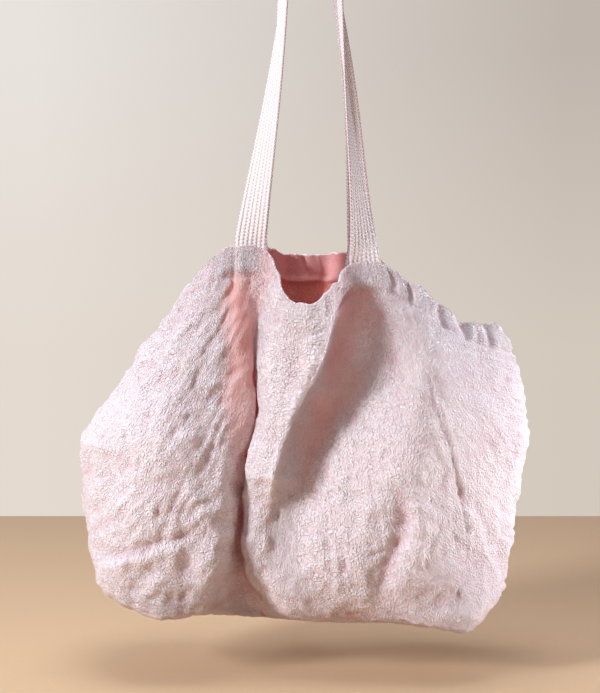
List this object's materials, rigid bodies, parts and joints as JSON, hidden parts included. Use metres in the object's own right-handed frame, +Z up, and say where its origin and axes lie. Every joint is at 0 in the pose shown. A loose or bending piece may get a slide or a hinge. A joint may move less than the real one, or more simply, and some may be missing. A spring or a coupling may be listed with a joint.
{
  "type": "woven tote bag",
  "caption": "Soft woven tote bag with a boxed base, turned hem and sewn webbing handles, hanging open by the handles in loose vertical folds.",
  "frame": {"origin": "the hang point: the top of the bar, hook or hand that both handle loops rest on, midway between the two loops", "axes": "+Z up; -Y towards the front of the bag, where its rim dips between the straps; +X to the right seen from the front"},
  "size_m": [0.4523, 0.1823, 0.7242],
  "materials": {
    "cloth": "matte",
    "cloth_inside": "matte",
    "webbing": "matte"
  },
  "bodies": {
    "bag": {"front_panel": "cloth", "back_panel": "cloth", "front_hem": "cloth_inside", "back_hem": "cloth_inside", "left_side_seam": "cloth_inside", "right_side_seam": "cloth_inside", "left_corner_seam": "cloth_inside", "right_corner_seam": "cloth_inside", "bottom_seam": "cloth_inside", "front_left_tail": "webbing", "front_right_tail": "webbing", "back_left_tail": "webbing", "back_right_tail": "webbing"},
    "front_handle": {"front_handle": "webbing"},
    "back_handle": {"back_handle": "webbing"}
  },
  "joints": [
    {"name": "front_handle_swing", "type": "hinge", "parent": "bag", "child": "front_handle", "pos_m": [-0.00299, -0.03528, -0.34657], "axis": [0.9902, -0.0048, -0.1396], "range_deg": [0, 123]},
    {"name": "back_handle_swing", "type": "hinge", "parent": "bag", "child": "back_handle", "pos_m": [-0.00313, 0.03032, -0.34184], "axis": [-0.9981, -0.0059, 0.0612], "range_deg": [0, 135]}
  ]
}
